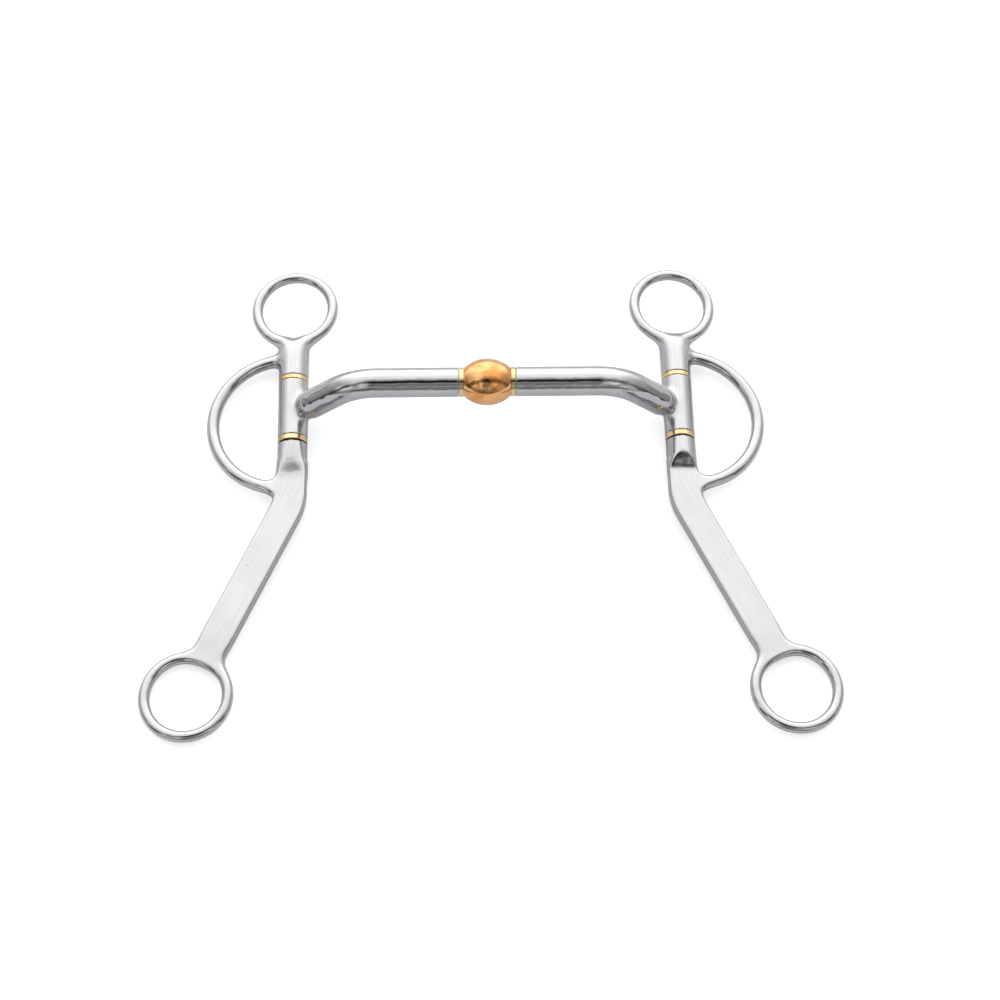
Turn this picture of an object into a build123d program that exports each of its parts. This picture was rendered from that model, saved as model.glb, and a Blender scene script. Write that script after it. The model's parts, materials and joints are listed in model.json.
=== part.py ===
from build123d import *
from math import acos, asin, cos, degrees, radians, sin, sqrt, tan
import os

# A curb bit lying on a flat surface, in millimetres. +X runs along the mouthpiece, +Y along the
# two sleeves towards the headstall rings, +Z up. The origin is under the middle of the whole bit.
# Inside a cheek, u runs outwards from the sleeve's axis, v along it and w through the thickness.

# Mouthpiece
sleeve_spacing = 138.0       # between the two sleeve axes: 5 in of mouth between the sleeves
bar_diameter = 10.4
arch_height = 20.5           # middle of the bar above the sleeve axes
bend_radius = 20.5
drop_angle = 44.0            # how steeply the bar comes down to its sleeve
bar_end_drop = 1.0           # how far below the sleeve's axis the bar's middle line ends
sleeve_length = 22.3
sleeve_blend = 2.0

# Roller, its washers and the pin through them
roller_diameter = 16.5
roller_length = 16.2
roller_end_diameter = 10.2
roller_washer_thickness = 1.7
centre_pin_diameter = 5.0
centre_pin_reach = 13.0      # how far the pin goes into each half of the mouthpiece
centre_pin_chamfer = 0.4
groove_depth = 0.9
groove_width = 2.4
groove_from_end = 3.5
keeper_diameter = 2.0
end_gap = 0.1                # between a turning face and the face next to it
running_gap = 0.06           # radial, between a pin and what turns on it
washer_chamfer = 0.2

# Cheeks
boss_diameter = 10.6         # also the sleeve's and the washers'
upper_washer_thickness = 1.65
lower_washer_thickness = 1.9
boss_gap = 0.35              # the play of the sleeve, all of it above the lower boss
pivot_pin_diameter = 5.0
pivot_pin_depth = 8.5        # how far the pin goes into the lower boss
headstall_ring_radius = 13.8
headstall_ring_wire = 3.8
headstall_ring_v = 42.1
rein_ring_radius = 14.2
rein_ring_wire = 3.9
rein_ring_u = 34.4
rein_ring_v = -107.3
hoop_u = 2.8
hoop_v = -4.6
hoop_radius = 25.8
hoop_wire = 4.4
hoop_end_u = 3.4             # where both ends of the hoop run into the cheek
hoop_blend = 1.5
shank_thickness = 4.5
shank_width = 11.4
shank_angle = 25.7           # outward sweep of the shank from the sleeve's axis
shank_inner_u = -5.2         # the shank's two edges beside the lower boss
shank_outer_u = 4.9
shank_inner_bend = 25.0
shank_outer_bend = 4.0
shank_top_v = -21.0
facet_start_v = -19.8        # where the round boss starts to slope down to the flat shank
facet_end_v = -25.3
neck_fillet = 4.0
edge_round = 1.1
gusset_inset = 0.6           # the web to the headstall ring is this much inside the boss
gusset_overlap = 4.0

# Derived sizes
half_spacing = sleeve_spacing / 2
bar_radius = bar_diameter / 2
boss_radius = boss_diameter / 2
pivot_radius = pivot_pin_diameter / 2
centre_radius = centre_pin_diameter / 2
half_sleeve = sleeve_length / 2
upper_washer_v = half_sleeve + end_gap
upper_boss_v = upper_washer_v + upper_washer_thickness + end_gap
lower_washer_v = -half_sleeve - end_gap
lower_boss_v = lower_washer_v - lower_washer_thickness - boss_gap
dome_v = headstall_ring_v - headstall_ring_radius + headstall_ring_wire / 2 - boss_radius
bar_end_x = roller_length / 2 + roller_washer_thickness + 2 * end_gap
pin_end_x = bar_end_x + centre_pin_reach
groove_x = pin_end_x - groove_from_end
ring_reach = rein_ring_u + rein_ring_radius

# The bit rests on its bosses and sleeves and on the outermost point of each rein ring, which
# leans each cheek down and outwards a little.
rest_tilt = degrees(asin((boss_radius - rein_ring_wire / 2) / ring_reach))
axis_z = boss_radius
top_v = headstall_ring_v + headstall_ring_radius + headstall_ring_wire / 2
bottom_v = rein_ring_v - rein_ring_radius - rein_ring_wire / 2
axis_y = -(top_v + bottom_v) / 2
bar_z = axis_z + arch_height

# The keeper pin runs along Y through the right half, under the centre pin's core.
keeper_z = bar_z - (centre_radius - groove_depth + running_gap + keeper_diameter / 2)
keeper_plane = Plane(origin=(groove_x, axis_y, keeper_z), x_dir=(1, 0, 0), z_dir=(0, 1, 0))

steel = Color(0.78, 0.78, 0.8)
brass = Color(0.85, 0.68, 0.35)
copper = Color(0.8, 0.48, 0.25)


def cheek_plane(side):
    """The middle plane of a cheek, its x along u and its y along v; side is -1 left, 1 right."""
    lean = radians(rest_tilt)
    u_dir = Vector(side * cos(lean), 0, -sin(lean))
    v_dir = Vector(0, 1, 0)
    return Plane(origin=(side * half_spacing, axis_y, axis_z), x_dir=u_dir, z_dir=u_dir.cross(v_dir))


def sleeve_axis(side):
    return Axis((side * half_spacing, axis_y, axis_z), (0, 1, 0))


def across_plane(side, v):
    """A plane square to a sleeve's axis, at v along it and facing the headstall ring."""
    return Plane(origin=(side * half_spacing, axis_y + v, axis_z), x_dir=(1, 0, 0), z_dir=(0, 1, 0))


def bar_plane(x, facing=1):
    """A plane square to the middle of the mouthpiece, at x along it."""
    return Plane(origin=(x, axis_y, bar_z), x_dir=(0, 1, 0), z_dir=(facing, 0, 0))


def finish(builder, name, color):
    builder.part.label = name
    builder.part.color = color
    export_step(builder.part, f"parts/{name}.step")
    return builder.part


def neck_outline(ring_radius, wire, half_width, reach):
    """A gusset that runs a stem down onto a ring's wire with a fillet each side.

    The ring is centred on the origin and the stem comes down to it along -Y, starting at reach.
    """
    ring_outside = ring_radius + wire / 2
    fillet_reach = ring_outside + neck_fillet
    spread = asin((half_width + neck_fillet) / fillet_reach)
    stem_y = fillet_reach * cos(spread)
    shoulder = Vector(ring_outside * sin(spread), ring_outside * cos(spread))
    root = Vector(ring_radius * sin(spread), ring_radius * cos(spread))
    with BuildSketch() as neck:
        with BuildLine():
            for turn in (-1, 1):
                foot = (turn * half_width, stem_y)
                Line((turn * half_width, reach), foot)
                RadiusArc(foot, (turn * shoulder.X, shoulder.Y), -turn * neck_fillet)
                Line((turn * shoulder.X, shoulder.Y), (turn * root.X, root.Y))
            RadiusArc((root.X, root.Y), (-root.X, root.Y), -ring_radius)
            Line((-half_width, reach), (half_width, reach))
        make_face()
    return neck.sketch


def lower_boss(side):
    """The round lower boss, sloped off above and below to the shank's thickness."""
    plane = cheek_plane(side)
    half = shank_thickness / 2
    with BuildPart() as boss:
        with BuildSketch(across_plane(side, lower_boss_v)):
            Circle(boss_radius)
        extrude(amount=facet_end_v - lower_boss_v)
        with BuildSketch(Plane(origin=plane.origin, x_dir=plane.y_dir, z_dir=plane.x_dir)):
            with BuildLine():
                Polyline(
                    (lower_boss_v, boss_radius),
                    (facet_start_v, boss_radius),
                    (facet_end_v, half),
                    (facet_end_v, -half),
                    (facet_start_v, -boss_radius),
                    (lower_boss_v, -boss_radius),
                    close=True,
                )
            make_face()
        extrude(amount=boss_diameter, both=True, mode=Mode.INTERSECT)
    return boss.part


def shank(side):
    """The flat shank: straight below the boss, then swept outwards onto the rein ring."""
    sweep_angle = radians(shank_angle)
    half_width = shank_width / 2
    down = Vector(sin(sweep_angle), -cos(sweep_angle))
    outwards = Vector(cos(sweep_angle), sin(sweep_angle))
    ring_centre = Vector(rein_ring_u, rein_ring_v)
    neck_reach = rein_ring_radius + 2 * neck_fillet
    neck_centre = ring_centre - down * neck_reach

    def bend_corner(u, offset):
        start = ring_centre + outwards * offset
        return start - down * ((start.X - u) / down.X)

    neck = neck_outline(rein_ring_radius, rein_ring_wire, half_width, neck_reach)
    with BuildPart() as blade:
        with BuildSketch(cheek_plane(side)):
            with BuildLine():
                inner = FilletPolyline(
                    (shank_inner_u, shank_top_v),
                    bend_corner(shank_inner_u, -half_width),
                    neck_centre - outwards * half_width,
                    radius=shank_inner_bend,
                )
                outer = FilletPolyline(
                    neck_centre + outwards * half_width,
                    bend_corner(shank_outer_u, half_width),
                    (shank_outer_u, shank_top_v),
                    radius=shank_outer_bend,
                )
                Line(inner @ 1, outer @ 0)
                Line(outer @ 1, inner @ 0)
            make_face()
            with Locations(Location(ring_centre, (0, 0, shank_angle))):
                add(neck)
        extrude(amount=shank_thickness / 2, both=True)
        fillet(blade.edges().filter_by(cheek_plane(side)), edge_round)
    return blade.part


def headstall_gusset(side):
    """The web that runs the upper boss into the headstall ring."""
    reach = headstall_ring_v - dome_v + gusset_overlap
    neck = neck_outline(headstall_ring_radius, headstall_ring_wire, boss_radius - gusset_inset, reach)
    with BuildPart() as gusset:
        with BuildSketch(cheek_plane(side)):
            with Locations(Location((0, headstall_ring_v, 0), (0, 0, 180))):
                add(neck)
        extrude(amount=headstall_ring_wire / 2, both=True)
        fillet(gusset.edges().filter_by(cheek_plane(side)), edge_round)
    return gusset.part


def make_cheek(side, name):
    """A cheek in one piece: headstall ring, boss, hoop, lower boss, shank and rein ring."""
    plane = cheek_plane(side)
    gusset = headstall_gusset(side)
    boss_bottom = lower_boss(side)
    blade = shank(side)
    end_angle = degrees(acos((hoop_end_u - hoop_u) / hoop_radius))
    with BuildPart() as cheek:
        # Upper boss, a rod with a round end at the bottom of the headstall ring.
        with BuildSketch(plane):
            with BuildLine():
                Line((0, dome_v + boss_radius), (0, upper_boss_v))
                Line((0, upper_boss_v), (boss_radius, upper_boss_v))
                Line((boss_radius, upper_boss_v), (boss_radius, dome_v))
                RadiusArc((boss_radius, dome_v), (0, dome_v + boss_radius), -boss_radius)
            make_face()
        revolve(axis=sleeve_axis(side))
        # Hoop, from the upper boss round to the top of the shank.
        with BuildLine(plane) as hoop_line:
            CenterArc((hoop_u, hoop_v), hoop_radius, end_angle, -2 * end_angle)
        with BuildSketch(Plane(origin=hoop_line.line @ 0, z_dir=hoop_line.line % 0)):
            Circle(hoop_wire / 2)
        sweep(path=hoop_line.line)
        fillet(cheek.edges().filter_by(GeomType.BSPLINE), hoop_blend)
        add(gusset)
        with Locations(plane):
            with Locations((0, headstall_ring_v)):
                Torus(headstall_ring_radius, headstall_ring_wire / 2)
            with Locations((rein_ring_u, rein_ring_v)):
                Torus(rein_ring_radius, rein_ring_wire / 2)
        add(boss_bottom)
        add(blade)
        # Bore for the pivot pin, from the headstall ring down into the lower boss.
        with BuildSketch(across_plane(side, lower_boss_v - pivot_pin_depth)):
            Circle(pivot_radius)
        extrude(amount=headstall_ring_v - lower_boss_v + pivot_pin_depth, mode=Mode.SUBTRACT)
    return finish(cheek, name, steel)


def make_pivot_pin(side, name):
    """The pin a cheek turns on, its top end rounded off level with the headstall ring."""
    pin_bottom_v = lower_boss_v - pivot_pin_depth
    round_v = dome_v + sqrt(boss_radius**2 - pivot_radius**2)
    with BuildPart() as pin:
        with BuildSketch(cheek_plane(side)):
            with BuildLine():
                Line((0, dome_v + boss_radius), (0, pin_bottom_v))
                Line((0, pin_bottom_v), (pivot_radius, pin_bottom_v))
                Line((pivot_radius, pin_bottom_v), (pivot_radius, round_v))
                RadiusArc((pivot_radius, round_v), (0, dome_v + boss_radius), -boss_radius)
            make_face()
        revolve(axis=sleeve_axis(side))
    return finish(pin, name, steel)


def make_cheek_washer(side, v, thickness, name):
    """A flat brass washer round the pivot pin; v is its lower face."""
    with BuildPart() as washer:
        with BuildSketch(across_plane(side, v)):
            Circle(boss_radius)
            Circle(pivot_radius + running_gap, mode=Mode.SUBTRACT)
        extrude(amount=thickness)
        rims = washer.edges().filter_by(GeomType.CIRCLE).group_by(SortBy.RADIUS)[-1]
        chamfer(rims, washer_chamfer)
    return finish(washer, name, brass)


def make_cannon(side, name):
    """Half of the mouthpiece: a straight bar that bends down to its pivot sleeve.

    The left half has a bore that holds the centre pin. The right half turns on the pin and is
    kept on it by a cross pin in the groove.
    """
    drop = radians(drop_angle)
    arc_end_z = arch_height - bend_radius * (1 - cos(drop))
    bend_x = half_spacing - bend_radius * sin(drop) - (arc_end_z + bar_end_drop) / tan(drop)
    arc_end = (side * (bend_x + bend_radius * sin(drop)), arc_end_z)
    bore_radius = centre_radius if side < 0 else centre_radius + running_gap
    with BuildPart() as cannon:
        with BuildLine(Plane(origin=(0, axis_y, axis_z), x_dir=(1, 0, 0), z_dir=(0, -1, 0))) as route:
            Line((side * bar_end_x, arch_height), (side * bend_x, arch_height))
            RadiusArc((side * bend_x, arch_height), arc_end, side * bend_radius)
            Line(arc_end, (side * half_spacing, -bar_end_drop))
        with BuildSketch(bar_plane(side * bar_end_x)):
            Circle(bar_radius)
        sweep(path=route.line)
        with BuildSketch(across_plane(side, -half_sleeve)):
            Circle(boss_radius)
        extrude(amount=sleeve_length)
        fillet(cannon.edges().filter_by(GeomType.BSPLINE), sleeve_blend)
        with BuildSketch(across_plane(side, -half_sleeve)):
            Circle(pivot_radius + running_gap)
        extrude(amount=sleeve_length, mode=Mode.SUBTRACT)
        with BuildSketch(bar_plane(side * bar_end_x, side)):
            Circle(bore_radius)
        extrude(amount=centre_pin_reach + end_gap, mode=Mode.SUBTRACT)
        if side > 0:
            with BuildSketch(keeper_plane):
                Circle(keeper_diameter / 2)
            extrude(amount=bar_radius, both=True, mode=Mode.SUBTRACT)
    return finish(cannon, name, steel)


def make_centre_pin():
    """The pin through the roller, with a groove near its right end for the keeper pin."""
    with BuildPart() as pin:
        with BuildSketch(bar_plane(-pin_end_x)):
            Circle(centre_radius)
        extrude(amount=2 * pin_end_x)
        chamfer(pin.edges().filter_by(GeomType.CIRCLE), centre_pin_chamfer)
        with BuildSketch(bar_plane(groove_x - groove_width / 2)):
            Circle(centre_radius)
            Circle(centre_radius - groove_depth, mode=Mode.SUBTRACT)
        extrude(amount=groove_width, mode=Mode.SUBTRACT)
    return finish(pin, "centre_pin", steel)


def make_keeper_pin():
    """A cross pin in the right half, in the centre pin's groove, cut off level with the bar."""
    with BuildPart() as keeper:
        with BuildSketch(keeper_plane):
            Circle(keeper_diameter / 2)
        extrude(amount=bar_radius, both=True)
        with BuildSketch(bar_plane(groove_x - keeper_diameter)):
            Circle(bar_radius)
        extrude(amount=2 * keeper_diameter, mode=Mode.INTERSECT)
    return finish(keeper, "keeper_pin", steel)


def make_roller():
    """The barrel-shaped copper roller."""
    half_length = roller_length / 2
    end_radius = roller_end_diameter / 2
    hole_radius = centre_radius + running_gap
    with BuildPart() as roller:
        with BuildSketch(Plane(origin=(0, axis_y, bar_z), x_dir=(1, 0, 0), z_dir=(0, -1, 0))):
            with BuildLine():
                Line((-half_length, hole_radius), (half_length, hole_radius))
                Line((half_length, hole_radius), (half_length, end_radius))
                ThreePointArc((half_length, end_radius), (0, roller_diameter / 2), (-half_length, end_radius))
                Line((-half_length, end_radius), (-half_length, hole_radius))
            make_face()
        revolve(axis=Axis((0, axis_y, bar_z), (1, 0, 0)))
    return finish(roller, "copper_roller", copper)


def make_roller_washer(side, name):
    start = side * (roller_length / 2 + end_gap)
    with BuildPart() as washer:
        with BuildSketch(bar_plane(start, side)):
            Circle(bar_radius)
            Circle(centre_radius + running_gap, mode=Mode.SUBTRACT)
        extrude(amount=roller_washer_thickness)
        rims = washer.edges().filter_by(GeomType.CIRCLE).group_by(SortBy.RADIUS)[-1]
        chamfer(rims, washer_chamfer)
    return finish(washer, name, brass)


os.makedirs("parts", exist_ok=True)
pieces = [make_centre_pin(), make_keeper_pin(), make_roller()]
for side, word in ((-1, "left"), (1, "right")):
    pieces.append(make_cheek(side, f"{word}_cheek"))
    pieces.append(make_pivot_pin(side, f"{word}_pivot_pin"))
    pieces.append(make_cheek_washer(side, upper_washer_v, upper_washer_thickness, f"{word}_upper_washer"))
    pieces.append(make_cheek_washer(side, lower_washer_v - lower_washer_thickness,
                                    lower_washer_thickness, f"{word}_lower_washer"))
    pieces.append(make_cannon(side, f"{word}_cannon"))
    pieces.append(make_roller_washer(side, f"{word}_roller_washer"))
curb_bit = Compound(label="curb_bit", children=pieces)
box = curb_bit.bounding_box()
print(f"{len(pieces)} pieces, {box.size.X:.1f} x {box.size.Y:.1f} x {box.size.Z:.1f} mm")
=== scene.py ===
import json
import math

import bpy
import numpy as np
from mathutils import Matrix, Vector


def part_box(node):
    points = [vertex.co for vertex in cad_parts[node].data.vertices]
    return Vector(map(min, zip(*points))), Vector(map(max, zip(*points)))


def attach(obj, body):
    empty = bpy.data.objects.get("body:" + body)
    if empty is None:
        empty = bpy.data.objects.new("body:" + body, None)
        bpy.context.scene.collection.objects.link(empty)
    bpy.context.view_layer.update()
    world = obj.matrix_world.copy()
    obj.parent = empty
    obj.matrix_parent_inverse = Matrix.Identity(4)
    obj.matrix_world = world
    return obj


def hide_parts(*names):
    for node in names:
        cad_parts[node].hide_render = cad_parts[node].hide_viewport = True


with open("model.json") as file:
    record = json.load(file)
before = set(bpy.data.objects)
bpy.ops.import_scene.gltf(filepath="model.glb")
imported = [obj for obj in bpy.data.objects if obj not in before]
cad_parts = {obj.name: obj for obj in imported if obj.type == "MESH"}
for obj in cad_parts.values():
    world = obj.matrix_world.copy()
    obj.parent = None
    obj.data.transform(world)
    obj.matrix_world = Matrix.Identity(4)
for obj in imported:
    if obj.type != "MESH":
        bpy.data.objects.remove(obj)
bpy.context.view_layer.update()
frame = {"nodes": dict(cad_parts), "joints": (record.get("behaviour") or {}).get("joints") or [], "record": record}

# Shapes are worked out in millimetres, in the frame's axes, and become metres in the meshes. The
# right half is made, and the left half mirrors it. Inside a cheek, u runs outwards from the sleeve's
# axis, v along it towards the headstall ring, and w through the thickness.
MM = 0.001                   # metres in a millimetre
VOXEL = 0.42                 # the grid that the shapes are meshed on

mounts = {mount["name"]: mount for mount in frame["record"]["mounts"]}
joints = {joint["name"]: joint for joint in frame["joints"]}


def box_mm(node):
    low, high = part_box(node)
    return np.array(low) / MM, np.array(high) / MM


# Read from the frame. Each V is a place along the sleeve's axis, from the sleeve's middle.
PIVOT = np.array(joints["right_cheek_swing"]["pos_m"]) / MM
CHEEK_W = np.array(mounts["right_headstall_ring"]["axis"])
CHEEK_V = np.array((0.0, 1.0, 0.0))
CHEEK_U = np.cross(CHEEK_V, CHEEK_W)
ARCH_HEIGHT = joints["mouthpiece_swivel"]["pos_m"][2] / MM - PIVOT[2]
PIN_RADIUS = np.ptp(box_mm("right_pivot_pin"), axis=0)[0] / 2
BOSS_RADIUS = np.ptp(box_mm("right_upper_washer"), axis=0)[0] / 2
BAR_RADIUS = np.ptp(box_mm("right_roller_washer"), axis=0)[1] / 2
BAR_END_X = box_mm("right_cannon")[0][0]
HALF_SLEEVE = np.ptp(box_mm("right_cannon"), axis=0)[1] / 2
LOWER_WASHER_V = box_mm("right_lower_washer")[0][1] - PIVOT[1]
UPPER_WASHER_V = box_mm("right_upper_washer")[1][1] - PIVOT[1]
PIN_BOTTOM_V = box_mm("right_pivot_pin")[0][1] - PIVOT[1]
PIN_TOP_V = box_mm("right_pivot_pin")[1][1] - PIVOT[1]
CENTRE_PIN_X = box_mm("centre_pin")[1][0]

# Cheek
WASHER_GAP = 0.1             # between the upper washer and the upper boss
BOSS_GAP = 0.55              # between the lower washer and the lower boss
BOSS_END_DROP = 1.5          # how far the boss's end stays below the ring's opening
BOSS_END_BLEND = 9.0         # how far the boss's end is rounded off
RING_TIPS = {"left": math.radians(20), "right": math.radians(6)}   # the ring is drawn down to a tip
TIP_SOFTNESS = 0.8           # the rounding of the tip
PIN_END_DROP = 3.6           # the pivot pin ends this far below its CAD top, inside the boss
PIN_CHAMFER = 0.5
HOOP_CENTRE = (2.8, -4.6)    # in (u, v)
HOOP_RADIUS = 25.8
HOOP_WIRE = 4.4
HOOP_END_U = 3.4             # where the hoop ends, inside the boss and the shank
SHANK_THICKNESS = 4.5
SHANK_WIDTH = 11.4
SHANK_ANGLE = math.radians(25.7)   # how far it sweeps outwards
SHANK_INNER_U = -5.2         # its edges straight under the boss
SHANK_OUTER_U = 4.9
SHANK_INNER_BEND = 25.0      # the radii that these edges turn outwards with
SHANK_OUTER_BEND = 4.0
SHANK_TOP_V = -21.0          # its top end, inside the boss
SHANK_EDGE = 1.1             # the rounding of the shank's edges
THIN_TO_RING = 14.0          # the shank thins to the rein ring's wire over this length
THIN_TO_HOOP = 7.0           # and to the hoop's wire over this much beyond its outline
RING_BLEND = 6.0             # the reach of the fillets between the shapes
HOOP_BLEND = 4.5
WEB_BLEND = 8.0
REIN_RING_BLEND = 6.0
# The lower boss is ground down to the shank's faces. Each slope runs between two (v, w). The cheeks
# were ground by hand: the left one in two soft slopes, the right one in a single crisp one.
FACET_START_V = -19.8        # on both sides the polish of the facets starts here too
FACET_END = (-25.3, SHANK_THICKNESS / 2)
FACETS = {"left": (((-13.5, BOSS_RADIUS), (-23.0, 3.7)), ((-22.8, 3.75), FACET_END)),
          "right": (((FACET_START_V, BOSS_RADIUS), FACET_END),)}
FACET_BLENDS = {"left": (2.6, 2.2), "right": (0.8, 0.9)}    # into the boss, and into the shank
FACET_CAP = 3.5              # the lower boss goes on this far inside the shank
CUT_EDGE = 0.35              # the rounding of turned and bored edges

# Mouthpiece
BEND_RADIUS = 20.5
DROP_ANGLE = math.radians(44.0)   # how steeply the bar drops to the sleeve
BAR_END_DROP = 1.0           # the bar's line passes this far below the sleeve's middle
BAR_END_SHORT = 10.0         # the bar's round end stops this far before the sleeve's middle
SLEEVE_BLEND = 4.8           # the reach of the fillet between the bar and the sleeve
RUNNING_GAP = 0.06           # round a pin that turns in its bore
CENTRE_BORE_GAP = 0.1        # between the centre pin's end and the bottom of its bore

# Finish: satin fades to polish between the first and the second distance outside an outline
CHEEK_SATIN_EDGE = (0.2, 2.4)
SLEEVE_SATIN_EDGE = (0.3, 2.0)
FACET_FADE_ABOVE = 1.0       # the facets are polished, fading over these lengths at their ends
FACET_FADE_BELOW = 0.6
BRUSH_TURN = (24.0, 34.0)    # the brush marks turn to follow the shank between these depths

# Meshing
SLOPE_STEP = 0.01            # the slope is measured this far to each side
LEAST_SLOPE_SQUARED = 0.25   # keeps a step onto the surface short where the distance changes slowly
RELAX_ROUNDS = 3
SETTLE_ROUNDS = 2
LAST_SETTLE_ROUNDS = 3


# ---------------------------------------------------------------- shapes as distances

def smooth_min(a, b, reach):
    """The union of two shapes, filleted over a reach of that many millimetres."""
    overlap = np.maximum(reach - np.abs(a - b), 0.0) / reach
    return np.minimum(a, b) - overlap**3 * reach / 6


def smooth_max(a, b, reach):
    return -smooth_min(-a, -b, reach)


def smooth_step(value, start, end):
    t = np.clip((value - start) / (end - start), 0.0, 1.0)
    return t * t * (3 - 2 * t)


def mix(a, b, t):
    return a + (b - a) * t


def segment_distance(x, y, start, end):
    """Distance in a plane from (x, y) to the straight run from start to end."""
    run = np.subtract(end, start)
    px, py = x - start[0], y - start[1]
    t = np.clip((px * run[0] + py * run[1]) / run.dot(run), 0.0, 1.0)
    return np.hypot(px - t * run[0], py - t * run[1])


def rounded_corner(x, y, first, second, radius):
    """Distance to the corner between two half-planes, each (point, outward normal), rounded off."""
    (point_1, normal_1), (point_2, normal_2) = first, second
    side_1 = (x - point_1[0]) * normal_1[0] + (y - point_1[1]) * normal_1[1]
    side_2 = (x - point_2[0]) * normal_2[0] + (y - point_2[1]) * normal_2[1]
    offsets = (np.dot(point_1, normal_1) - radius, np.dot(point_2, normal_2) - radius)
    centre = np.linalg.solve(np.array((normal_1, normal_2)), offsets)
    qx, qy = x - centre[0], y - centre[1]
    turn = np.sign(normal_1[0] * normal_2[1] - normal_1[1] * normal_2[0])
    after_1 = (normal_1[0] * qy - normal_1[1] * qx) * turn > 0
    before_2 = (qx * normal_2[1] - qy * normal_2[0]) * turn > 0
    return np.where(after_1 & before_2, np.hypot(qx, qy) - radius, np.maximum(side_1, side_2))


def ring_of(name):
    """A ring mount's centre in the cheek's (u, v), its middle radius and its wire's radius."""
    mount = mounts[name]
    offset = np.array(mount["pos_m"]) / MM - PIVOT
    wire = mount["dims"]["length_mm"] / 2
    return (offset @ CHEEK_U, offset @ CHEEK_V), mount["dims"]["r_mm"] + wire, wire


def strip_outline(u, v):
    """The flat shank's outline: straight under the boss, then swept outwards to the rein ring."""
    centre, ring_radius, _ = ring_of("right_rein_ring")
    outwards = np.array((math.cos(SHANK_ANGLE), math.sin(SHANK_ANGLE)))
    down = np.array((math.sin(SHANK_ANGLE), -math.cos(SHANK_ANGLE)))
    half = SHANK_WIDTH / 2
    inner = rounded_corner(u, v, ((SHANK_INNER_U, 0.0), (-1.0, 0.0)),
                           (centre - outwards * half, -outwards), SHANK_INNER_BEND)
    outer = -rounded_corner(u, v, ((SHANK_OUTER_U, 0.0), (-1.0, 0.0)),
                            (centre + outwards * half, -outwards), SHANK_OUTER_BEND)
    above_ring = (centre[0] - u) * down[0] + (centre[1] - v) * down[1]
    cap = math.sqrt(ring_radius**2 - half**2) - above_ring
    outline = np.maximum(np.maximum(inner, outer), np.maximum(v - SHANK_TOP_V, cap))
    return outline, above_ring


def plate_distance(u, v, w):
    """Shank, hoop and rein ring: one outline in the cheek's plane, flat on the shank, round on wires."""
    centre, ring_radius, ring_wire = ring_of("right_rein_ring")
    strip, above_ring = strip_outline(u, v)
    hoop_r = np.hypot(u - HOOP_CENTRE[0], v - HOOP_CENTRE[1])
    hoop = np.maximum(np.abs(hoop_r - HOOP_RADIUS) - HOOP_WIRE / 2, HOOP_END_U - u)
    ring = np.abs(np.hypot(u - centre[0], v - centre[1]) - ring_radius) - ring_wire
    outline = smooth_min(smooth_min(strip, hoop, WEB_BLEND), ring, REIN_RING_BLEND)
    near_ring = 1 - smooth_step(above_ring, ring_radius, ring_radius + THIN_TO_RING)
    off_strip = smooth_step(strip, 0.0, THIN_TO_HOOP)
    wire = mix(HOOP_WIRE / 2, ring_wire, near_ring)
    half = mix(SHANK_THICKNESS / 2, wire, np.maximum(near_ring, off_strip))
    edge = mix(SHANK_EDGE, wire, np.maximum(off_strip, near_ring**2))
    side = outline + edge
    face = np.abs(w) - half + edge
    outside = np.hypot(np.maximum(side, 0), np.maximum(face, 0))
    return outside + np.minimum(np.maximum(side, face), 0) - edge


def off_ring_centre(u, v, tip):
    """Distance from the headstall ring's centre, but straight to a point within tip of its bottom."""
    down = ring_of("right_headstall_ring")[0][1] - v
    to_point = np.hypot(u, TIP_SOFTNESS) * math.sin(tip) + down * math.cos(tip)
    return np.where(np.abs(u) < down * math.tan(tip), to_point, np.hypot(u, down))


def lower_boss_distance(v, w, from_axis, facets, blend):
    """The boss under the lower washer, with its slopes ground off on both faces."""
    boss = from_axis - BOSS_RADIUS
    for (start_v, start_w), (end_v, end_w) in facets:
        run, rise = start_v - end_v, start_w - end_w
        slope = (run * (np.abs(w) - start_w) - rise * (v - start_v)) / math.hypot(run, rise)
        boss = smooth_max(boss, slope, blend)
    boss = smooth_max(boss, v - LOWER_WASHER_V + BOSS_GAP, CUT_EDGE)
    return np.maximum(boss, FACET_END[0] - FACET_CAP - v)


def pin_ends(v):
    """Distance beyond the nearer end of the pivot pin."""
    return np.maximum(PIN_BOTTOM_V - v, v - PIN_TOP_V + PIN_END_DROP)


def cheek_distance(points, word):
    """The left or right cheek, in its own (u, v, w)."""
    u, v, w = points.T
    from_axis = np.hypot(u, w)
    boss_blend, shank_blend = FACET_BLENDS[word]
    centre, ring_radius, ring_wire = ring_of("right_headstall_ring")
    off_centre = off_ring_centre(u, v, RING_TIPS[word])
    ring = np.hypot(off_centre - ring_radius, w) - ring_wire
    end = np.maximum(ring_radius - ring_wire + BOSS_END_DROP - off_centre, v - centre[1])
    boss = smooth_max(from_axis - BOSS_RADIUS, end, BOSS_END_BLEND)
    plate = plate_distance(u, v, w)
    top = smooth_min(ring, boss, RING_BLEND)
    top = smooth_min(top, plate, HOOP_BLEND)
    top = smooth_max(top, UPPER_WASHER_V + WASHER_GAP - v, CUT_EDGE)
    lower = lower_boss_distance(v, w, from_axis, FACETS[word], boss_blend)
    solid = np.minimum(top, smooth_min(lower, plate, shank_blend))
    bore = np.maximum(from_axis - PIN_RADIUS, pin_ends(v))
    return smooth_max(solid, -bore, CUT_EDGE)


def pin_distance(points):
    """A pivot pin with chamfered ends, in the cheek's (u, v, w)."""
    u, v, w = points.T
    ends = pin_ends(v)
    side = np.hypot(u, w) - PIN_RADIUS
    return np.maximum(np.maximum(side, ends), (side + ends + PIN_CHAMFER) / math.sqrt(2))


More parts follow.
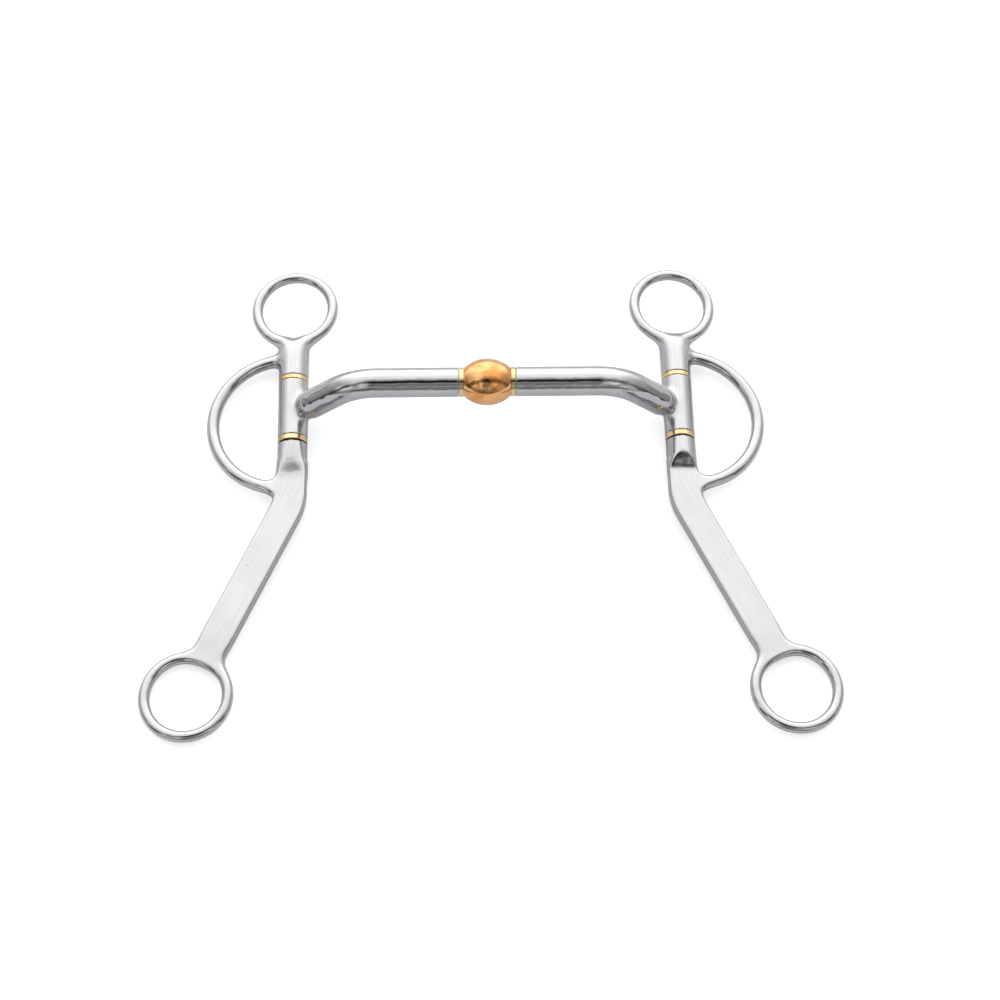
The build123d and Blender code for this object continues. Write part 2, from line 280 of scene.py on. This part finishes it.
def off_bar_line(x, z):
    """Distance in the plane y = 0 to the bar's middle line: straight, bent, and down to the sleeve."""
    bend_z = ARCH_HEIGHT - BEND_RADIUS
    arc_end_z = bend_z + BEND_RADIUS * math.cos(DROP_ANGLE)
    drop_run = (arc_end_z + BAR_END_DROP) / math.tan(DROP_ANGLE)
    bend_x = PIVOT[0] - BEND_RADIUS * math.sin(DROP_ANGLE) - drop_run
    arc_end = (bend_x + BEND_RADIUS * math.sin(DROP_ANGLE), arc_end_z)
    bar_end = (PIVOT[0] - BAR_END_SHORT * math.cos(DROP_ANGLE),
               BAR_END_SHORT * math.sin(DROP_ANGLE) - BAR_END_DROP)
    straight = segment_distance(x, z, (0.0, ARCH_HEIGHT), (bend_x, ARCH_HEIGHT))
    drop = segment_distance(x, z, arc_end, bar_end)
    turn = np.arctan2(x - bend_x, z - bend_z)
    on_arc = (turn > 0) & (turn < DROP_ANGLE)
    arc = np.where(on_arc, np.abs(np.hypot(x - bend_x, z - bend_z) - BEND_RADIUS), np.inf)
    return np.minimum(np.minimum(straight, drop), arc)


def cannon_distance(points, bore_radius):
    """Half of the mouthpiece, from the middle of the bit (x) and the sleeve's axis (y, z)."""
    x, y, z = points.T
    bar = np.hypot(off_bar_line(x, z), y) - BAR_RADIUS
    bar = smooth_max(bar, BAR_END_X - x, CUT_EDGE)
    from_axis = np.hypot(x - PIVOT[0], z)
    sleeve = smooth_max(from_axis - BOSS_RADIUS, np.abs(y) - HALF_SLEEVE, CUT_EDGE)
    solid = smooth_min(bar, sleeve, SLEEVE_BLEND)
    solid = np.maximum(solid, -BOSS_RADIUS - z)      # the bar stays above the sleeve's underside
    solid = smooth_max(solid, PIN_RADIUS + RUNNING_GAP - from_axis, CUT_EDGE)
    bore_side = np.hypot(y, z - ARCH_HEIGHT) - bore_radius
    bore = np.maximum(bore_side, x - CENTRE_PIN_X - CENTRE_BORE_GAP)
    return smooth_max(solid, -bore, CUT_EDGE)


# ---------------------------------------------------------------- distances to meshes

STEPS = np.eye(3, dtype=np.int64)
CORNERS = [(i, j, k) for i in (0, 1) for j in (0, 1) for k in (0, 1)]


def slope_of(distance, points):
    """The outward direction at each point, scaled as the distance changes there."""
    slopes = []
    for axis in np.eye(3) * SLOPE_STEP:
        slopes.append((distance(points + axis) - distance(points - axis)) / (2 * SLOPE_STEP))
    return np.stack(slopes, axis=1)


def settle(distance, points, rounds):
    """Moves points straight onto the surface."""
    for _ in range(rounds):
        slope = slope_of(distance, points)
        push = distance(points) / np.maximum((slope**2).sum(axis=1), LEAST_SLOPE_SQUARED)
        points = points - slope * np.clip(push, -VOXEL, VOXEL)[:, None]
    return points


def shifted(array, offset, shape):
    """The block of an array that starts at a grid offset."""
    return array[tuple(slice(o, o + n) for o, n in zip(offset, shape))]


def cell_points(value, where):
    """One point in each crossed cell: the middle of the places where the surface cuts its edges."""
    total = np.zeros((len(where), 3))
    hits = np.zeros(len(where))
    for axis, step in enumerate(STEPS):
        for offset in CORNERS:
            if offset[axis]:
                continue
            start = where + offset
            a, b = value[tuple(start.T)], value[tuple((start + step).T)]
            cut = (a < 0) != (b < 0)
            point = start.astype(float)
            point[:, axis] += np.where(cut, a / np.where(cut, a - b, 1.0), 0.0)
            total += point * cut[:, None]
            hits += cut
    return total / hits[:, None]


def quads_across(inside, index, axis):
    """A quad round each grid edge along an axis that goes through the surface, facing outwards."""
    step, side_1, side_2 = STEPS[axis], STEPS[(axis + 1) % 3], STEPS[(axis + 2) % 3]
    edges = tuple(n - s for n, s in zip(inside.shape, step))
    nodes = np.argwhere(shifted(inside, (0, 0, 0), edges) != shifted(inside, step, edges))
    around = [nodes - side_1 - side_2, nodes - side_2, nodes, nodes - side_1]
    quads = np.stack([index[tuple(cell.T)] for cell in around], axis=1)
    flip = ~inside[tuple(nodes.T)]
    quads[flip] = quads[flip][:, ::-1]
    return quads


def surface_of(distance, low, high):
    """A closed quad mesh of a distance function's surface: one point in each cell that it crosses."""
    axes = [np.arange(a - 2 * VOXEL, b + 2 * VOXEL, VOXEL) for a, b in zip(low, high)]
    shape = tuple(len(axis) for axis in axes)
    grid = np.stack(np.meshgrid(*axes, indexing="ij"), axis=-1).reshape(-1, 3)
    value = distance(grid).reshape(shape)
    inside = value < 0
    cells = tuple(n - 1 for n in shape)
    count = sum(shifted(inside, corner, cells).astype(np.int8) for corner in CORNERS)
    crossed = (count > 0) & (count < len(CORNERS))
    index = np.full(cells, -1, dtype=np.int64)
    index[crossed] = np.arange(crossed.sum())
    origin = np.array([axis[0] for axis in axes])
    points = origin + cell_points(value, np.argwhere(crossed)) * VOXEL
    quads = [quads_across(inside, index, axis) for axis in range(3)]
    return points, np.concatenate(quads)


def relax(points, quads):
    """Evens out the points along the surface, each towards its neighbours' middle."""
    edges = np.concatenate([quads[:, [i, (i + 1) % 4]] for i in range(4)])
    total = np.zeros_like(points)
    count = np.zeros(len(points))
    for a, b in ((0, 1), (1, 0)):
        np.add.at(total, edges[:, a], points[edges[:, b]])
        np.add.at(count, edges[:, a], 1)
    return (points + total / count[:, None]) / 2


def skin(distance, low, high):
    """Points, quads and normals of a shape's surface."""
    points, quads = surface_of(distance, low, high)
    points = settle(distance, points, SETTLE_ROUNDS)
    for _ in range(RELAX_ROUNDS):
        points = settle(distance, relax(points, quads), SETTLE_ROUNDS)
    points = settle(distance, points, LAST_SETTLE_ROUNDS)
    normals = slope_of(distance, points)
    return points, quads, normals / np.linalg.norm(normals, axis=1)[:, None]


def add_mesh(name, points, quads, normals, side, fields):
    """A mesh object from millimetre points of the right half, mirrored where side is -1."""
    flip = np.array((side, 1.0, 1.0))
    mesh = bpy.data.meshes.new(name)
    faces = quads if side > 0 else quads[:, ::-1]
    mesh.from_pydata((points * flip * MM).tolist(), [], faces.tolist())
    for field, values in fields.items():
        kind = "FLOAT" if values.ndim == 1 else "FLOAT_VECTOR"
        key = "value" if values.ndim == 1 else "vector"
        attribute = mesh.attributes.new(field, kind, "POINT")
        attribute.data.foreach_set(key, values.astype(np.float32).ravel())
    mesh.shade_smooth()
    mesh.normals_split_custom_set_from_vertices((normals * flip).tolist())
    piece = bpy.data.objects.new(name, mesh)
    bpy.context.scene.collection.objects.link(piece)
    return piece


# ---------------------------------------------------------------- materials

STEEL_DARK = (0.55, 0.545, 0.56, 1)
STEEL_LIGHT = (0.585, 0.58, 0.59, 1)
MARK_COLOR = (0.10, 0.10, 0.10, 1)        # in brush marks and pits
STREAK_DARKNESS = 0.11
PIT_DARKNESS = 0.5
BRUSHED_ROUGHNESS = (0.16, 0.27)
POLISHED_ROUGHNESS = (0.025, 0.065)
BRUSH_SCALE = (3.2, 0.07, 3.2)            # per millimetre, long along the brush marks
# Features per metre
STEEL_PATCH_SCALE = 70.0
WAVE_SCALE = 230.0
PIT_SCALE = 95.0
TARNISH_SCALE = 210.0
GROOVE_SCALE_AROUND = 120.0
GROOVE_SCALE_ALONG = 5200.0
# Relief, in metres
BRUSH_DEPTH = 0.00002
WAVE_DEPTH = 0.00014
TARNISH_DEPTH = 0.00004
GROOVE_DEPTH = 0.00001


class Nodes:
    """Short calls for building a node tree."""

    def __init__(self, tree):
        self.tree = tree

    def add(self, kind, inputs, **settings):
        node = self.tree.nodes.new(kind)
        for key, value in settings.items():
            setattr(node, key, value)
        for key, value in inputs.items():
            socket = node.inputs[key]
            if isinstance(value, bpy.types.NodeSocket):
                self.tree.links.new(value, socket)
            else:
                socket.default_value = value
        return node

    def math(self, operation, a, b=0.0):
        return self.add("ShaderNodeMath", {0: a, 1: b}, operation=operation).outputs[0]

    def product(self, a, b):
        return self.math("MULTIPLY", a, b)

    def ramp(self, value, start, end, low, high):
        """Low up to start, high from end on, and a smooth rise between."""
        inputs = {"Value": value, "From Min": start, "From Max": end, "To Min": low, "To Max": high}
        return self.add("ShaderNodeMapRange", inputs, interpolation_type="SMOOTHSTEP").outputs[0]

    def mapped(self, vector, scale):
        return self.add("ShaderNodeMapping", {"Vector": vector, "Scale": scale}).outputs[0]

    def noise(self, vector, scale, detail):
        inputs = {"Vector": vector, "Scale": scale, "Detail": detail}
        return self.add("ShaderNodeTexNoise", inputs).outputs["Fac"]

    def blend(self, amount, first, second):
        """A colour between two. The node's inputs share their names, so they go by number."""
        inputs = {"Factor": amount, 6: first, 7: second}
        return self.add("ShaderNodeMix", inputs, data_type="RGBA").outputs[2]

    def between(self, amount, first, second):
        return self.add("ShaderNodeMix", {"Factor": amount, "A": first, "B": second}).outputs[0]

    def bump(self, height, strength, distance, normal=None):
        inputs = {"Height": height, "Strength": strength, "Distance": distance}
        if normal is not None:
            inputs["Normal"] = normal
        return self.add("ShaderNodeBump", inputs).outputs[0]


def new_metal(name):
    material = bpy.data.materials.new(name)
    material.use_nodes = True
    shader = material.node_tree.nodes["Principled BSDF"]
    shader.inputs["Metallic"].default_value = 1.0
    return material, Nodes(material.node_tree), shader


def finish_metal(nodes, shader, color, roughness, normal):
    for socket, value in (("Base Color", color), ("Roughness", roughness), ("Normal", normal)):
        nodes.tree.links.new(value, shader.inputs[socket])


def stainless_steel():
    """Polished stainless steel, with a brushed satin finish where a mesh's satin field says so."""
    material, nodes, shader = new_metal("stainless_steel")
    place = nodes.add("ShaderNodeTexCoord", {}).outputs["Object"]
    satin = nodes.add("ShaderNodeAttribute", {}, attribute_name="satin").outputs["Fac"]
    grain = nodes.add("ShaderNodeAttribute", {}, attribute_name="grain").outputs["Vector"]
    brush = nodes.noise(nodes.mapped(grain, BRUSH_SCALE), 1.0, 3.0)
    patches = nodes.noise(place, STEEL_PATCH_SCALE, 2.0)
    waves = nodes.noise(place, WAVE_SCALE, 1.0)
    pits = nodes.add("ShaderNodeTexVoronoi", {"Vector": place, "Scale": PIT_SCALE}).outputs["Distance"]
    pit = nodes.ramp(pits, 0.022, 0.034, PIT_DARKNESS, 0.0)
    streaks = nodes.product(satin, nodes.ramp(brush, 0.45, 0.75, 0.0, STREAK_DARKNESS))
    clean = nodes.blend(nodes.ramp(patches, 0.3, 0.7, 0.0, 1.0), STEEL_DARK, STEEL_LIGHT)
    color = nodes.blend(nodes.math("MAXIMUM", streaks, pit), clean, MARK_COLOR)
    brushed = nodes.ramp(brush, 0.25, 0.75, *BRUSHED_ROUGHNESS)
    polished = nodes.ramp(patches, 0.3, 0.7, *POLISHED_ROUGHNESS)
    brush_strength = nodes.product(satin, 0.5)
    normal = nodes.bump(brush, brush_strength, BRUSH_DEPTH)
    normal = nodes.bump(waves, nodes.ramp(satin, 0.0, 1.0, 1.0, 0.25), WAVE_DEPTH, normal)
    finish_metal(nodes, shader, color, nodes.between(satin, polished, brushed), normal)
    return material


def turned_metal(name, axis, light, dark, smooth, dull):
    """A lathe-turned metal: fine grooves round the axis, and patches of handling tarnish."""
    material, nodes, shader = new_metal(name)
    place = nodes.add("ShaderNodeTexCoord", {}).outputs["Object"]
    stretch = [GROOVE_SCALE_AROUND] * 3
    stretch[axis] = GROOVE_SCALE_ALONG
    grooves = nodes.noise(nodes.mapped(place, stretch), 1.0, 2.0)
    patches = nodes.noise(place, TARNISH_SCALE, 4.0)
    color = nodes.blend(nodes.ramp(patches, 0.40, 0.60, 0.0, 1.0), light, dark)
    rough = nodes.ramp(patches, 0.3, 0.7, smooth, dull)
    normal = nodes.bump(patches, 0.6, TARNISH_DEPTH, nodes.bump(grooves, 0.5, GROOVE_DEPTH))
    finish_metal(nodes, shader, color, rough, normal)
    return material


def lacquer(material, weight, ior, roughness):
    """A clear coat, set on the shader's own sockets."""
    shader = material.node_tree.nodes["Principled BSDF"]
    shader.inputs["Coat Weight"].default_value = weight
    shader.inputs["Coat IOR"].default_value = ior
    shader.inputs["Coat Roughness"].default_value = roughness


steel = stainless_steel()
copper = turned_metal("copper", 0, (0.94, 0.49, 0.20, 1), (0.74, 0.32, 0.08, 1), 0.07, 0.15)
lacquer(copper, 0.55, 1.6, 0.12)
roller_brass = turned_metal("pale_brass", 0, (0.88, 0.72, 0.40, 1), (0.76, 0.60, 0.30, 1),
                            0.12, 0.20)
cheek_brass = turned_metal("gold_brass", 1, (0.92, 0.68, 0.38, 1), (0.80, 0.54, 0.27, 1),
                           0.12, 0.20)


def material_of(node_name):
    if node_name.endswith("roller_washer"):
        return roller_brass
    if node_name.endswith("washer"):
        return cheek_brass
    return copper if node_name == "copper_roller" else steel


for node_name, node in frame["nodes"].items():
    for slot in node.material_slots:
        slot.material = material_of(node_name)


# ---------------------------------------------------------------- pieces

def cheek_fields(points):
    """Where a cheek is satin, and the direction of its brush marks, along the shank and the bosses."""
    u, v, w = points.T
    facet_end_v = FACET_END[0]
    strip, _ = strip_outline(u, v)
    boss = np.where(v > -BOSS_RADIUS, np.hypot(u, w) - BOSS_RADIUS, np.abs(u) - BOSS_RADIUS)
    boss = np.maximum(np.maximum(boss, v - PIN_TOP_V), facet_end_v - v)
    below_start = 1 - smooth_step(v, FACET_START_V, FACET_START_V + FACET_FADE_ABOVE)
    facet = smooth_step(v, facet_end_v - FACET_FADE_BELOW, facet_end_v) * below_start
    satin = (1 - smooth_step(np.minimum(strip, boss), *CHEEK_SATIN_EDGE)) * (1 - facet)
    turn = SHANK_ANGLE * smooth_step(-v, *BRUSH_TURN)
    bend_v = facet_end_v - BOSS_RADIUS
    across = u * np.cos(turn) + (v - bend_v) * np.sin(turn)
    along = (v - bend_v) * np.cos(turn) - u * np.sin(turn)
    return {"satin": satin, "grain": np.stack((across, along, w), axis=1)}


def cannon_fields(points):
    """The sleeve is satin, brushed along its axis; the bar is polished."""
    x, y, z = points.T
    sleeve = np.hypot(x - PIVOT[0], z) - BOSS_RADIUS
    satin = 1 - smooth_step(sleeve, *SLEEVE_SATIN_EDGE)
    return {"satin": satin, "grain": np.stack((x, y, z), axis=1)}


def add_cheek_piece(name, node, skinned, fields, side, word):
    """A piece of a cheek's body, from its (u, v, w) skin, in place of the CAD node."""
    points, quads, normals = skinned
    turn = np.stack((CHEEK_U, CHEEK_V, CHEEK_W))
    piece = add_mesh(name, points @ turn + PIVOT, quads, normals @ turn, side, fields)
    piece.data.materials.append(steel)
    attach(piece, f"{word}_cheek")
    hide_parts(node)


def cheek_pieces():
    headstall, head_radius, head_wire = ring_of("right_headstall_ring")
    rein, rein_radius, rein_wire = ring_of("right_rein_ring")
    low = (-head_radius - head_wire, rein[1] - rein_radius - rein_wire, -BOSS_RADIUS)
    high = (rein[0] + rein_radius + rein_wire, headstall[1] + head_radius + head_wire, BOSS_RADIUS)
    pin = skin(pin_distance, (-PIN_RADIUS, PIN_BOTTOM_V, -PIN_RADIUS),
               (PIN_RADIUS, PIN_TOP_V, PIN_RADIUS))
    for side, word in ((-1, "left"), (1, "right")):
        cheek = skin(lambda p: cheek_distance(p, word), low, high)
        fields = cheek_fields(cheek[0])
        add_cheek_piece(f"{word}_cheek_polished", f"{word}_cheek", cheek, fields, side, word)
        add_cheek_piece(f"{word}_pin_turned", f"{word}_pivot_pin", pin, {}, side, word)


def cannon_pieces():
    low = (BAR_END_X, -HALF_SLEEVE, -BOSS_RADIUS)
    high = (PIVOT[0] + BOSS_RADIUS, HALF_SLEEVE, ARCH_HEIGHT + BAR_RADIUS)
    origin = np.array((0.0, PIVOT[1], PIVOT[2]))
    for side, word, gap in ((-1, "left", 0.0), (1, "right", RUNNING_GAP)):
        points, quads, normals = skin(lambda p: cannon_distance(p, PIN_RADIUS + gap), low, high)
        fields = cannon_fields(points)
        piece = add_mesh(f"{word}_cannon_polished", points + origin, quads, normals, side, fields)
        piece.data.materials.append(steel)
        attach(piece, f"{word}_mouthpiece")
        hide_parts(f"{word}_cannon")


cheek_pieces()
cannon_pieces()


# ---------------------------------------------------------------- studio

VIEW_ELEVATION = math.radians(63.83)
VIEW_AZIMUTH = math.radians(3.94)
VIEW_ROLL = math.radians(2.89)
VIEW_DISTANCE = 0.7786
VIEW_AIM = Vector((0.0043, -0.0006, 0.0))
LENS_MM = 79.2
SENSOR_MM = 36.0
FLOOR_SIZE = 6.0
FLOOR_COLOR = (0.84, 0.84, 0.87, 1)
FLOOR_GLOW = 0.56            # makes the floor plain and nearly white
WHITE = (1, 1, 1, 1)
DARK_BAND_Y = -0.38          # the middle of the dark band over the near side, as a direction's Y


def add_camera():
    data = bpy.data.cameras.new("camera")
    data.lens = LENS_MM
    data.sensor_width = SENSOR_MM
    camera = bpy.data.objects.new("camera", data)
    bpy.context.scene.collection.objects.link(camera)
    back = Vector((-math.sin(VIEW_AZIMUTH) * math.cos(VIEW_ELEVATION),
                   -math.cos(VIEW_AZIMUTH) * math.cos(VIEW_ELEVATION),
                   math.sin(VIEW_ELEVATION)))
    camera.location = VIEW_AIM + back * VIEW_DISTANCE
    camera.rotation_euler = back.to_track_quat("Z", "Y").to_euler()
    camera.rotation_euler.rotate_axis("Z", VIEW_ROLL)
    bpy.context.scene.camera = camera


def add_floor():
    """A pale matt floor. Only the camera sees its glow, so that the metal doesn't mirror it."""
    bpy.ops.mesh.primitive_plane_add(size=FLOOR_SIZE)
    floor = bpy.context.active_object
    floor.name = "floor"
    material = bpy.data.materials.new("floor")
    material.use_nodes = True
    shader = material.node_tree.nodes["Principled BSDF"]
    shader.inputs["Base Color"].default_value = FLOOR_COLOR
    shader.inputs["Roughness"].default_value = 1.0
    shader.inputs["Specular IOR Level"].default_value = 0.0
    shader.inputs["Emission Color"].default_value = WHITE
    nodes = Nodes(material.node_tree)
    to_camera = nodes.add("ShaderNodeLightPath", {}).outputs["Is Camera Ray"]
    glow = nodes.product(to_camera, FLOOR_GLOW)
    material.node_tree.links.new(glow, shader.inputs["Emission Strength"])
    floor.data.materials.append(material)


def softbox_light(nodes, axes, across):
    """A wide softbox over the far side, brighter towards the far end, dimmer at its sides and foot."""
    light = nodes.product(nodes.ramp(axes["Y"], -0.22, 0.12, 0.0, 1.3),
                          nodes.ramp(axes["Y"], 0.15, 0.75, 1.0, 1.42))
    light = nodes.product(light, nodes.ramp(across, 0.50, 0.98, 1.0, 0.40))
    return nodes.product(light, nodes.ramp(axes["Z"], 0.0, 0.14, 0.62, 1.0))


def wall_light(nodes, axes, across, clutter):
    """The dimmer, uneven near side, with a dark band that is deepest in the middle."""
    off_band = nodes.math("ABSOLUTE", nodes.math("SUBTRACT", axes["Y"], DARK_BAND_Y))
    depth = nodes.product(nodes.ramp(off_band, 0.08, 0.20, 1.0, 0.0),
                          nodes.ramp(across, 0.05, 0.30, 0.97, 0.66))
    light = nodes.product(nodes.math("SUBTRACT", 1.0, depth),
                          nodes.ramp(across, 0.10, 0.60, 0.38, 0.90))
    light = nodes.product(light, nodes.ramp(clutter, 0.35, 0.65, 0.5, 1.4))
    light = nodes.product(light, nodes.ramp(axes["Y"], -0.25, 0.05, 1.0, 0.0))
    return nodes.product(light, nodes.ramp(axes["Z"], 0.12, 0.46, 0.42, 1.0))


def add_world():
    """Lights the scene from every direction by the softbox and the walls."""
    world = bpy.data.worlds.new("studio")
    world.use_nodes = True
    nodes = Nodes(world.node_tree)
    direction = nodes.add("ShaderNodeTexCoord", {}).outputs["Generated"]
    axes = nodes.add("ShaderNodeSeparateXYZ", {"Vector": direction}).outputs
    across = nodes.math("ABSOLUTE", axes["X"])
    softbox = softbox_light(nodes, axes, across)
    wall = wall_light(nodes, axes, across, nodes.noise(direction, 3.5, 3.0))
    background = world.node_tree.nodes["Background"]
    world.node_tree.links.new(nodes.math("ADD", wall, softbox), background.inputs["Strength"])
    background.inputs["Color"].default_value = WHITE
    bpy.context.scene.world = world


add_floor()
add_world()
add_camera()
bpy.context.scene.view_settings.view_transform = "Standard"
